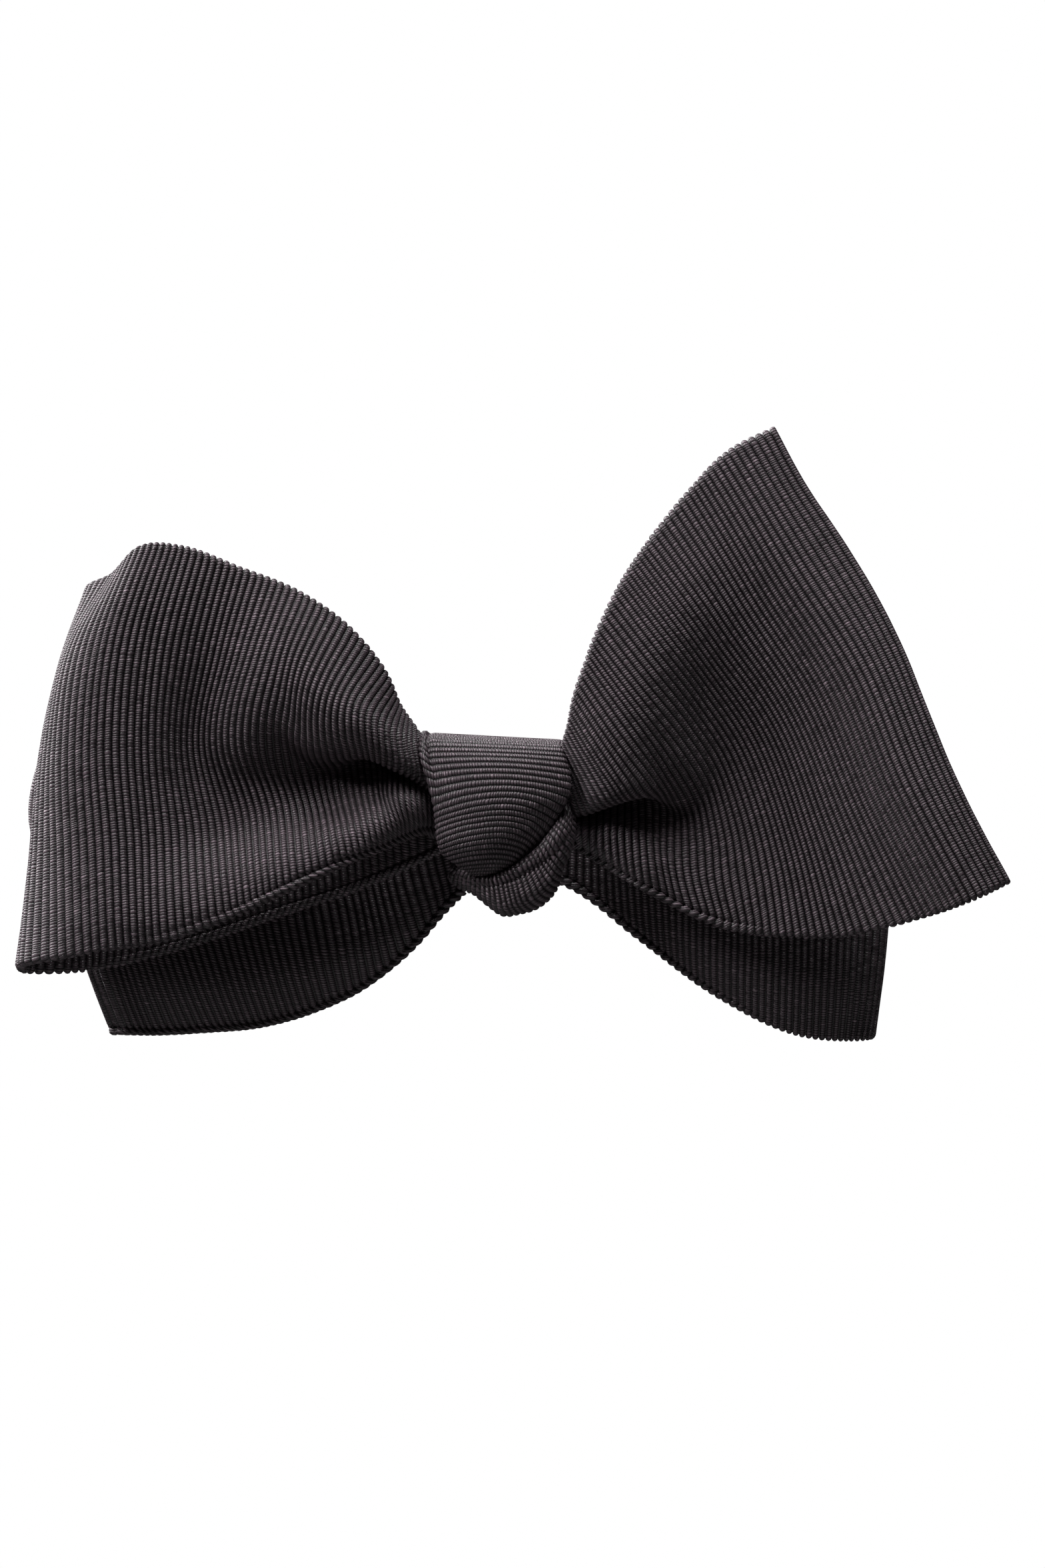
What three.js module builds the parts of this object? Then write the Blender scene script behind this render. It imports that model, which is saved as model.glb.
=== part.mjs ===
// Butterfly bow tie, tied by hand, in millimetres, +Z up, front towards -Y.
// The origin is on the inner face of the neckband, right behind the knot and
// half way up the band.
//
// The tie is one flat strip of ribbed silk that swells into a butterfly-shaped
// blade at each end. Tied, it shows two bows, one in front of the other, each
// with a folded loop on one side and a flat blade end on the other, a wrap
// drawn over the middle as the knot, and the crossing of the two ends under it.
//
// Every panel is a wall of cloth around a middle surface. The surface runs
// through sections, and each section is one rib of the weave, from the bottom
// edge of the strip to its top edge.
import * as THREE from 'three';

const CLOTH = 2.0;          // blade: two layers of silk with the interlining between
const WRAP = 1.5;           // the wrap and the crossing, pulled tight
const CROSSING_CROWN = 0.8; // how far the crossing's middle stands out
const BAND_HEIGHT = 16;
const BAND_THICK = 1.8;
const NECK_HALF_WIDTH = 56; // inside of the band, side to side
const NECK_HALF_DEPTH = 69; // inside of the band, front to back; 393 mm around

const SILK_FRONT = { color: 0x2f2b2e, roughness: 0.78 };
const SILK_REAR = { color: 0x262325, roughness: 0.8 };
const SILK_KNOT = { color: 0x3a3538, roughness: 0.76 };
const SILK_BAND = { color: 0x242123, roughness: 0.82 };

const group = new THREE.Group();

function add(name, geometry, look) {
  const mesh = new THREE.Mesh(geometry, new THREE.MeshStandardMaterial({ ...look, metalness: 0 }));
  mesh.name = name;
  group.add(mesh);
}

// Rows under the names of their columns.
function table(names, rows) {
  return rows.map((row) => Object.fromEntries(names.split(' ').map((name, i) => [name, row[i]])));
}

// Cubic curve through values at uneven places.
function curve(places, values, at) {
  const last = places.length - 1;
  let i = 0;
  while (i < last - 1 && at > places[i + 1]) i += 1;
  const span = places[i + 1] - places[i];
  const t = Math.min(Math.max((at - places[i]) / span, 0), 1);
  const rise = (k) => (values[k + 1] - values[k]) / (places[k + 1] - places[k]);
  const slope = (k) => {
    if (k === 0 || k === last) return rise(Math.min(k, last - 1));
    const before = places[k] - places[k - 1];
    const after = places[k + 1] - places[k];
    return (rise(k - 1) * after + rise(k) * before) / (before + after);
  };
  const t2 = t * t;
  const t3 = t2 * t;
  return (2 * t3 - 3 * t2 + 1) * values[i] + (t3 - 2 * t2 + t) * span * slope(i)
    + (3 * t2 - 2 * t3) * values[i + 1] + (t3 - t2) * span * slope(i + 1);
}

// A table's value at a place down its first column.
function read(rows, column, at, pick = (value) => value) {
  const [key] = Object.keys(rows[0]);
  return curve(rows.map((row) => row[key]), rows.map((row) => pick(row[column])), at);
}

// A closed solid from points and triangles, its faces turned outwards.
function solid(points, faces) {
  let volume = 0;
  for (const [a, b, c] of faces) volume += points[a].dot(points[b].clone().cross(points[c]));
  const turned = volume < 0 ? faces.map(([a, b, c]) => [a, c, b]) : faces;
  const geometry = new THREE.BufferGeometry();
  geometry.setAttribute('position', new THREE.Float32BufferAttribute(
    points.flatMap((p) => [p.x, p.y, p.z]), 3));
  geometry.setIndex(turned.flat());
  geometry.computeVertexNormals();
  return geometry;
}

// A closed wall of even thickness around a middle surface, which is given by a
// place along the strip and a place v across it, 0 to 1.
function wall(surface, { from, to, along, across }, thickness) {
  const points = [];
  const step = 1e-3;
  for (let i = 0; i <= along; i += 1) {
    for (let j = 0; j <= across; j += 1) {
      const at = from + (to - from) * i / along;
      const v = j / across;
      const a = Math.min(Math.max(at, from + step), to - step);
      const b = Math.min(Math.max(v, step), 1 - step);
      const du = surface(a + step, b).sub(surface(a - step, b));
      const dv = surface(a, b + step).sub(surface(a, b - step));
      const normal = du.cross(dv).normalize().multiplyScalar(thickness / 2);
      const middle = surface(at, v);
      points.push(middle.clone().add(normal), middle.clone().sub(normal));
    }
  }
  const id = (i, j, side) => (i * (across + 1) + j) * 2 + side;
  const faces = [];
  const quad = (a, b, c, d) => faces.push([a, b, c], [a, c, d]);
  for (let i = 0; i < along; i += 1) {
    for (let j = 0; j < across; j += 1) {
      quad(id(i, j, 0), id(i + 1, j, 0), id(i + 1, j + 1, 0), id(i, j + 1, 0));
      quad(id(i, j, 1), id(i, j + 1, 1), id(i + 1, j + 1, 1), id(i + 1, j, 1));
    }
    quad(id(i, 0, 0), id(i, 0, 1), id(i + 1, 0, 1), id(i + 1, 0, 0));
    quad(id(i, across, 0), id(i + 1, across, 0), id(i + 1, across, 1), id(i, across, 1));
  }
  for (let j = 0; j < across; j += 1) {
    quad(id(0, j, 0), id(0, j + 1, 0), id(0, j + 1, 1), id(0, j, 1));
    quad(id(along, j, 0), id(along, j, 1), id(along, j + 1, 1), id(along, j + 1, 0));
  }
  return solid(points, faces);
}

// A panel of the bows. lines: [x, z] of five points on each rib, seen from the
// front; depths: their y; pleat: the hollow that the knot pinches into the
// strip, its depth, its place across the strip and its width.
const ACROSS = table('part v', [['bottom', 0], ['low', 0.25], ['mid', 0.5], ['high', 0.75], ['top', 1]]);

function panel({ lines, depths, pleat = [], ...extent }) {
  const places = ACROSS.map(({ v }) => v);
  const surface = (at, v) => {
    const x = curve(places, ACROSS.map(({ part }) => read(lines, part, at, (point) => point[0])), v);
    const z = curve(places, ACROSS.map(({ part }) => read(lines, part, at, (point) => point[1])), v);
    const y = curve(places, ACROSS.map(({ part }) => read(depths, part, at)), v);
    if (!pleat.length) return new THREE.Vector3(x, y, z);
    const off = (v - read(pleat, 'line', at)) / read(pleat, 'wide', at);
    return new THREE.Vector3(x, y + read(pleat, 'deep', at) * Math.exp(-off * off), z);
  };
  return wall(surface, extent, CLOTH);
}

// Front bow, loop on the left. Its front layer runs out to the fold near rib 56
// and its back layer comes home behind the knot.
const FRONT_LOOP = {
  from: -9, to: 120, along: 50, across: 11,
  lines: table('rib bottom low mid high top', [
    [-9, [-0.4, -5.4], [-0.4, -2.7], [-0.4, 0], [-0.4, 2.7], [-0.4, 5.4]],
    [-2, [-7.6, -4], [-7.8, -1.7], [-8.1, 0.8], [-8.7, 3.2], [-9.1, 5.5]],
    [1.2, [-9.4, -3.2], [-9.8, -0.4], [-10.4, 2.6], [-11.1, 5.8], [-11.6, 8.9]],
    [4, [-11.6, -3.8], [-12, -0.2], [-13, 4.2], [-13.6, 8.7], [-12.9, 12.9]],
    [7, [-14.2, -5], [-14.3, 0], [-16.2, 5.2], [-17.2, 11.4], [-14.2, 16.7]],
    [11.5, [-19.3, -7.2], [-20, 0.4], [-23, 7.6], [-22.2, 15.4], [-18.6, 22.4]],
    [20.2, [-26.8, -10.7], [-27.8, -1.2], [-30.3, 8.4], [-28.3, 18], [-25.3, 27.1]],
    [28.7, [-33.8, -13.9], [-35.1, -2.8], [-37.3, 8.2], [-35.2, 19.2], [-32.4, 30]],
    [37.3, [-42.3, -16.7], [-43, -4.4], [-44, 8], [-42.7, 20.4], [-39.3, 32.7]],
    [44.2, [-48.6, -17.4], [-49.2, -4.8], [-50, 7.8], [-48.6, 20.6], [-44.6, 32.6]],
    [50.3, [-54.6, -18.2], [-54.6, -5.8], [-55, 7], [-53.2, 19], [-48.4, 30.4]],
    [54.5, [-58.8, -19.2], [-57.6, -6.6], [-56.8, 6.4], [-54.6, 18.2], [-50, 28.7]],
    [58.5, [-58.9, -20.2], [-57.6, -7], [-56.6, 6], [-54.4, 17.6], [-49.8, 27.9]],
    [63, [-55, -20.5], [-54.4, -7.2], [-54, 5.6], [-52, 17], [-47.6, 27.6]],
    [70, [-48.6, -20], [-48.6, -7.2], [-48.2, 5], [-46.4, 16.4], [-42.4, 26.8]],
    [80, [-38.6, -17.4], [-39.2, -6.6], [-38.8, 4.2], [-37.4, 14.4], [-34.6, 24]],
    [92, [-27.4, -13.6], [-28.2, -5.4], [-28, 3.4], [-26.8, 12], [-25, 20]],
    [102, [-17.8, -10.4], [-18.4, -4.2], [-18.4, 2.4], [-17.8, 8.8], [-16.8, 14.6]],
    [110, [-10, -7], [-10.4, -3.4], [-10.6, 0.6], [-10.8, 4.2], [-11, 7.4]],
    [113, [-7, -5.6], [-7.2, -2.9], [-7.4, 0], [-7.6, 2.8], [-7.8, 5.4]],
    [120, [-0.4, -5.4], [-0.4, -2.7], [-0.4, 0], [-0.4, 2.7], [-0.4, 5.4]],
  ]),
  depths: table('rib bottom low mid high top', [
    [-9, -15.3, -15.3, -15.3, -15.3, -15.3],
    [-2, -15.2, -15.2, -15.2, -15.2, -15.1],
    [1.2, -15.2, -15.6, -15.6, -15.5, -15],
    [4, -16, -17.4, -18.2, -18, -15.6],
    [7, -17, -19, -20.6, -20.6, -17],
    [11.5, -17.4, -20.2, -22, -22.2, -18.4],
    [20.2, -17.4, -20.8, -22.6, -23.2, -20],
    [28.7, -17.2, -20.6, -22.6, -23.4, -21.2],
    [37.3, -16.2, -19.4, -21.6, -22.6, -21.4],
    [44.2, -14.8, -17.6, -19.8, -21, -20.2],
    [50.3, -13, -15.2, -16.8, -18, -17.8],
    [54.5, -11.8, -12.6, -13.4, -14.2, -14.4],
    [58.5, -9.4, -9.2, -9, -9.2, -9.6],
    [63, -8, -7.2, -6.6, -6.6, -7],
    [70, -8, -7.2, -6.8, -6.8, -7.2],
    [80, -8.6, -8, -7.8, -8, -8.6],
    [92, -9.6, -9.2, -9.2, -9.6, -10.4],
    [102, -10.8, -10.8, -11, -11.4, -12],
    [110, -12.3, -12.5, -12.5, -12.5, -12.5],
    [113, -12.5, -12.6, -12.6, -12.6, -12.6],
    [120, -12.8, -12.7, -12.7, -12.7, -12.7],
  ]),
  pleat: table('rib deep line wide', [
    [-2, 0, 0.5, 0.18],
    [1.2, 0.6, 0.5, 0.18],
    [4, 3.2, 0.5, 0.15],
    [7, 4, 0.5, 0.15],
    [11.5, 3.2, 0.5, 0.16],
    [20.2, 1.8, 0.47, 0.18],
    [28.7, 0.8, 0.45, 0.2],
    [37.3, 0, 0.45, 0.2],
  ]),
};
add('front_loop', panel(FRONT_LOOP), SILK_FRONT);

// Front bow, flat blade end on the right.
const FRONT_BLADE = {
  from: -9.5, to: 52, along: 26, across: 13,
  lines: table('rib bottom low mid high top', [
    [-9.5, [0.4, -4.8], [0.4, -2.4], [0.4, 0.2], [0.4, 2.8], [0.4, 5.4]],
    [-3, [6.9, -3.4], [7, -1.9], [7, 0.4], [7.1, 2.6], [7.3, 4.5]],
    [-0.6, [9.5, -3.6], [9.7, -1.6], [9.8, 1.2], [9.7, 4], [9.6, 7]],
    [2, [12.6, -4.8], [12.8, -2.2], [12.1, 2.2], [10.7, 6.2], [9.3, 10.6]],
    [6.5, [20.6, -9], [20.6, -2.1], [17.2, 3.6], [13.2, 9.2], [9.2, 14.7]],
    [12, [27.4, -12.9], [27, -3.2], [23, 5.3], [17, 12.6], [11.2, 20.3]],
    [18.6, [34.3, -15.4], [32.6, -3.3], [28.5, 7.7], [21, 16.9], [14, 26.3]],
    [27.8, [43.5, -16], [39.4, -2.9], [34.3, 10.1], [26.1, 21.4], [17.9, 32.6]],
    [36.8, [52.3, -13.8], [45.6, 0], [39.5, 13.9], [31.2, 26.6], [23.3, 39.4]],
    [45.6, [59, -11.3], [51.5, 2.9], [45.3, 17.6], [36.9, 31.2], [28.8, 44.8]],
    [52, [63.5, -9.2], [56.3, 5], [50.4, 19.8], [42.5, 33.8], [34.8, 47.6]],
  ]),
  depths: table('rib bottom low mid high top', [
    [-9.5, -13.9, -13.9, -13.9, -13.9, -13.9],
    [-3, -13.6, -13.9, -14, -13.9, -13.5],
    [-0.6, -13.6, -14.4, -14.8, -14.4, -13.4],
    [2, -13.8, -15.6, -16.6, -15.8, -13.8],
    [6.5, -14, -17, -18.4, -17.4, -14.6],
    [12, -14, -17.6, -18.8, -17.8, -14.4],
    [18.6, -13.8, -17, -18.2, -17.2, -13.8],
    [27.8, -13, -15, -15.8, -15, -12.8],
    [36.8, -12, -12.8, -13.2, -12.8, -12],
    [45.6, -11, -11.2, -11.2, -11, -11],
    [52, -10.2, -10, -10, -10.2, -10.4],
  ]),
  pleat: table('rib deep line wide', [
    [-9.5, 0, 0.38, 0.2],
    [-3, 0.6, 0.38, 0.2],
    [-0.6, 2, 0.37, 0.18],
    [2, 4, 0.37, 0.15],
    [6.5, 4.2, 0.36, 0.14],
    [12, 2.6, 0.35, 0.15],
    [18.6, 1.2, 0.34, 0.17],
    [27.8, 0.4, 0.34, 0.2],
    [36.8, 0, 0.34, 0.2],
  ]),
};
add('front_blade', panel(FRONT_BLADE), SILK_FRONT);

// Rear bow, loop on the right, folded near rib 45.
const REAR_LOOP = {
  from: -9, to: 99, along: 34, across: 7,
  lines: table('rib bottom low mid high top', [
    [-9, [0.3, -7.4], [0.3, -3.8], [0.3, -0.2], [0.3, 2.8], [0.3, 5.6]],
    [0, [9.4, -9.9], [9.6, -5.4], [9.4, -1], [9.6, 3], [9.8, 6.4]],
    [8, [17.4, -16.4], [16.8, -8.8], [16.6, -1.4], [16.4, 5.6], [16, 11.8]],
    [19.5, [27.2, -23.5], [26.8, -12.6], [26.8, -2], [26.6, 8.2], [25.4, 17.6]],
    [32, [37.8, -28.5], [37.9, -15.6], [38.2, -2.6], [37.4, 10.2], [35.6, 22]],
    [40, [44, -29.1], [44.6, -15.8], [45.2, -2.4], [44.2, 10.6], [41.8, 23]],
    [45, [46.8, -28.7], [47.9, -15.4], [48.2, -2.2], [46.8, 10.6], [44.2, 22.6]],
    [50, [44, -27.6], [44.8, -15], [45.2, -2.2], [44.2, 10.2], [41.6, 21.8]],
    [58, [37, -25.6], [37.6, -14.2], [37.8, -2.2], [37, 9.6], [35.2, 20.4]],
    [70.5, [26.6, -20.6], [26.6, -11.4], [26.8, -2], [26.4, 7.4], [25.2, 16.2]],
    [82, [17, -14.2], [16.6, -8], [16.6, -1.4], [16.4, 5], [16, 11]],
    [90, [9.4, -9], [9.4, -4.8], [9.4, -0.8], [9.6, 2.8], [9.8, 6.2]],
    [99, [0.3, -7.2], [0.3, -3.8], [0.3, -0.2], [0.3, 2.7], [0.3, 5.4]],
  ]),
  depths: table('rib bottom low mid high top', [
    [-9, -8.4, -8.4, -8.4, -8.4, -8.4],
    [0, -8.4, -8.4, -8.4, -8.4, -8.4],
    [8, -7.8, -8.6, -8.8, -8.6, -8.2],
    [19.5, -6.8, -8, -8.4, -8, -7.2],
    [32, -5.6, -6.8, -7.2, -6.8, -5.8],
    [40, -3.8, -4.8, -5.2, -4.8, -3.8],
    [45, -0.9, -1.3, -1.5, -1.2, -0.6],
    [50, 2.2, 2.4, 2.4, 2.6, 2.8],
    [58, 2.6, 2.6, 2.6, 2.8, 3.2],
    [70.5, 0.2, -0.2, -0.4, 0, 0.6],
    [82, -3.4, -3.8, -3.9, -3.7, -3.3],
    [90, -5.7, -5.7, -5.7, -5.7, -5.7],
    [99, -5.7, -5.7, -5.7, -5.7, -5.7],
  ]),
};
add('rear_loop', panel(REAR_LOOP), SILK_REAR);

// Rear bow, flat blade end on the left, its upper corner bent back round the neck.
const REAR_BLADE = {
  from: -9, to: 48, along: 20, across: 8,
  lines: table('rib bottom low mid high top', [
    [-9, [-0.3, -7.4], [-0.3, -3.8], [-0.3, 0], [-0.3, 3.4], [-0.3, 6.6]],
    [0, [-6.4, -12.1], [-8.2, -6.6], [-9, -1.4], [-9.2, 3.4], [-9.2, 7]],
    [5, [-10.7, -17.4], [-13, -10.6], [-14.2, -3.6], [-14.2, 3.6], [-13.6, 9.6]],
    [11.5, [-17, -22.4], [-18.6, -13.6], [-20.6, -4.2], [-20.6, 5], [-19.6, 13.4]],
    [18.5, [-23.4, -25.4], [-26, -15.4], [-28, -4.4], [-28.2, 6.6], [-26.4, 17]],
    [26, [-29.8, -27.3], [-33.4, -16.4], [-36.2, -4.2], [-36.2, 8.6], [-33.4, 20.4]],
    [34, [-36.4, -28], [-40.8, -16.8], [-44.6, -3.6], [-44.2, 10.6], [-40.2, 23.4]],
    [41.5, [-43, -28.3], [-47.2, -16], [-52, -2.2], [-50.6, 12.4], [-45.6, 25.2]],
    [48, [-48.8, -28.1], [-53.3, -14], [-58.8, -0.4], [-55.2, 13.8], [-49, 26.4]],
  ]),
  depths: table('rib bottom low mid high top', [
    [-9, -7, -7, -7, -7, -7],
    [0, -7, -7.2, -7.2, -7, -6.8],
    [5, -6.8, -7, -6.8, -6.4, -6],
    [11.5, -5.6, -6.4, -6.2, -5.4, -4.6],
    [18.5, -4.6, -5.8, -5.6, -4.4, -3],
    [26, -3.8, -5, -4.8, -3, -0.8],
    [34, -3.2, -4.2, -3.6, -1.2, 1.8],
    [41.5, -2.8, -3.2, -2, 1, 4.6],
    [48, -2.6, -2.4, -0.6, 3, 6.8],
  ]),
};
add('rear_blade', panel(REAR_BLADE), SILK_REAR);

// The wrap over the middle: from behind the band side, over the top, down the
// front, and tucked up behind the waist of the front bow. Each section runs
// from its left edge to its right edge, [x, z]; depth: y in its middle; round:
// how far its edges lie behind that.
const KNOT_WRAP = {
  from: 0, to: 10.8, along: 30, across: 6,
  sections: table('turn left right depth round', [
    [0, [-7.6, 1.5], [7.6, 1.5], -3.0, -0.1],
    [1, [-8.2, 5.2], [7.8, 5.0], -3.0, -0.1],
    [1.8, [-9.0, 7.7], [8.0, 7.0], -4.2, -0.2],
    [2.6, [-9.6, 8.5], [8.0, 7.6], -8.0, -0.2],
    [3.5, [-9.9, 8.5], [8.0, 7.5], -13.6, 0.2],
    [4.2, [-9.8, 7.2], [8.2, 6.3], -17.6, 1.0],
    [5, [-9.2, 4.4], [8.7, 3.8], -19.6, 2.2],
    [5.8, [-8.6, 1.2], [8.9, 0.9], -20.4, 2.6],
    [6.6, [-8.0, -2.2], [7.8, -1.8], -20.4, 2.4],
    [7.4, [-7.5, -4.9], [4.6, -4.4], -19.6, 1.8],
    [8, [-6.2, -6.8], [2.4, -6.6], -18.0, 1.2],
    [8.6, [-4.8, -7.6], [1.2, -7.6], -15.6, 0.4],
    [9.4, [-4.2, -7.3], [1.2, -7.3], -12.4, 0],
    [10, [-4.0, -5.6], [1.4, -5.6], -10.6, 0],
    [10.8, [-4.0, -2.6], [1.6, -2.6], -10.6, 0],
  ]),
};

function wrapSurface(sections) {
  return (at, v) => {
    const edge = (side, axis) => read(sections, side, at, (point) => point[axis]);
    const x = THREE.MathUtils.lerp(edge('left', 0), edge('right', 0), v);
    const z = THREE.MathUtils.lerp(edge('left', 1), edge('right', 1), v);
    const offMiddle = 2 * v - 1;
    const y = read(sections, 'depth', at) + read(sections, 'round', at) * offMiddle * offMiddle;
    return new THREE.Vector3(x, y, z);
  };
}

add('knot_wrap', wall(wrapSurface(KNOT_WRAP.sections), KNOT_WRAP, WRAP), SILK_KNOT);

// The crossing of the two ends, seen under the knot: a band that comes round
// from the right side and sags to the left under the wrap. inner: [x, z, y] of
// its edge under the wrap; outer: of its free edge below.
const CROSSING = {
  from: 0, to: 6, along: 14, across: 4,
  sections: table('turn inner outer', [
    [0, [7.3, -2.0, -16.3], [8.4, -4.7, -14.2]],
    [1, [6.2, -4.4, -16.8], [8.0, -6.4, -13.6]],
    [2, [4.4, -6.8, -17.0], [6.8, -9.4, -11.6]],
    [3, [2.2, -8.7, -16.6], [4.4, -11.6, -10.8]],
    [4, [-0.2, -9.4, -16.0], [1.2, -12.3, -10.5]],
    [5, [-2.4, -9.4, -15.2], [-1.8, -11.2, -10.4]],
    [6, [-4.3, -9.4, -14.4], [-4.3, -10.3, -10.6]],
  ]),
};

function crossingSurface(sections) {
  return (at, v) => {
    const place = (axis) => THREE.MathUtils.lerp(
      read(sections, 'inner', at, (point) => point[axis]),
      read(sections, 'outer', at, (point) => point[axis]), v);
    return new THREE.Vector3(place(0), place(2) - CROSSING_CROWN * Math.sin(Math.PI * v), place(1));
  };
}

add('knot_crossing', wall(crossingSurface(CROSSING.sections), CROSSING, WRAP), SILK_KNOT);

// Neckband: a plain closed loop, level, its inner face at the origin in front.
const BAND_STEPS = 72;
const BAND_SECTION = table('out up', [[0, -1], [1, -1], [1, 1], [0, 1]]);

function bandLoop() {
  const points = [];
  for (let i = 0; i < BAND_STEPS; i += 1) {
    const turn = 2 * Math.PI * i / BAND_STEPS;
    for (const { out, up } of BAND_SECTION) {
      const grow = out * BAND_THICK;
      points.push(new THREE.Vector3(
        (NECK_HALF_WIDTH + grow) * Math.sin(turn),
        NECK_HALF_DEPTH - (NECK_HALF_DEPTH + grow) * Math.cos(turn),
        up * BAND_HEIGHT / 2));
    }
  }
  const corners = BAND_SECTION.length;
  const faces = [];
  for (let i = 0; i < BAND_STEPS; i += 1) {
    const next = (i + 1) % BAND_STEPS;
    for (let k = 0; k < corners; k += 1) {
      const after = (k + 1) % corners;
      faces.push([i * corners + k, i * corners + after, next * corners + after]);
      faces.push([i * corners + k, next * corners + after, next * corners + k]);
    }
  }
  return solid(points, faces);
}

add('neckband', bandLoop(), SILK_BAND);

export default group;
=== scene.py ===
# Butterfly bow tie, tied by hand from black ribbed silk, as worn. Blender 4.5, metres,
# +Z up, front towards -Y. Section tables are in millimetres, as read off the tie.
import math

import bpy
import numpy as np
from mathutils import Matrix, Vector


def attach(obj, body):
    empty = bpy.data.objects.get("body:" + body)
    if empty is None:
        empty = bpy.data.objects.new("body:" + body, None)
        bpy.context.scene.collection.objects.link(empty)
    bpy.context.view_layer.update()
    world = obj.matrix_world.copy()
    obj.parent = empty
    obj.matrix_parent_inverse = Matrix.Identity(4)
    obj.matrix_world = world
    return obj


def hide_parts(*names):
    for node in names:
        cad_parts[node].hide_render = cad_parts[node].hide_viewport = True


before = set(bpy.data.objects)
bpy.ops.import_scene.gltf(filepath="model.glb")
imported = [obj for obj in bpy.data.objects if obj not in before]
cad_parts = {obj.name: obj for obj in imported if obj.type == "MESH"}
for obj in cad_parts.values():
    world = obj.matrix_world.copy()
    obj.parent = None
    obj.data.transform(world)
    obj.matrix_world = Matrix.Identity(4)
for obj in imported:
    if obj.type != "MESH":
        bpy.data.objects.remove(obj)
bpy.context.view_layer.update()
mm = 0.001

# What all the cloth shares: a rib is one heavy weft thread under many fine warp threads.
weave = {
    "ribPitch": 0.9,       # mm from rib to rib
    "threadPitch": 0.34,   # mm from warp thread to warp thread along a rib
    "ribHeight": 0.36,     # mm from the groove to the crown of a rib
    "ribRoundness": 0.6,   # lower is a flatter crown and a narrower groove
    "grooveSink": 0.6,     # how far grooves lie under the plain wall, as a share of the height
    "slub": 0.22,          # how uneven the ribs are, as a share of their height
    "slubScale": 0.9,      # how fast that changes from one rib to the next
    "slubAlong": 0.22,     # and for each mm along a rib, against slubScale
    "creaseFade": 8.0,     # ribs over which a pressed line fades in and out
    "seed": 7.0,
}

camera = {
    "lens": 150.0,         # mm
    "sensor": 36.0,        # mm
    "clipEnd": 50.0,
    "x": 2.83 * mm,        # straight in front of the middle of the photograph
    "z": 3.0 * mm,
    "distance": 0.817,     # from the middle depth of the bow
    "bowDepth": -14.0 * mm,
}


def setUpCamera():
    data = bpy.data.cameras.new("camera")
    data.lens = camera["lens"]
    data.sensor_width = camera["sensor"]
    data.clip_end = camera["clipEnd"]
    cam = bpy.data.objects.new("camera", data)
    cam.location = (camera["x"], camera["bowDepth"] - camera["distance"], camera["z"])
    cam.rotation_euler = (math.radians(90), 0, 0)
    bpy.context.scene.collection.objects.link(cam)
    bpy.context.scene.camera = cam


def addNode(tree, kind, inputs=None, **settings):
    node = tree.nodes.new(kind)
    for key, value in settings.items():
        setattr(node, key, value)
    for key, value in (inputs or {}).items():
        if isinstance(value, bpy.types.NodeSocket):
            tree.links.new(value, node.inputs[key])
        else:
            node.inputs[key].default_value = value
    return node


# A linear colour from an sRGB hex code.
def linearColour(code):
    channels = [int(code[i:i + 2], 16) / 255 for i in (1, 3, 5)]
    linear = [c / 12.92 if c <= 0.04045 else ((c + 0.055) / 1.055) ** 2.4 for c in channels]
    return (*linear, 1.0)


setUpCamera()
print("camera ready")


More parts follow.
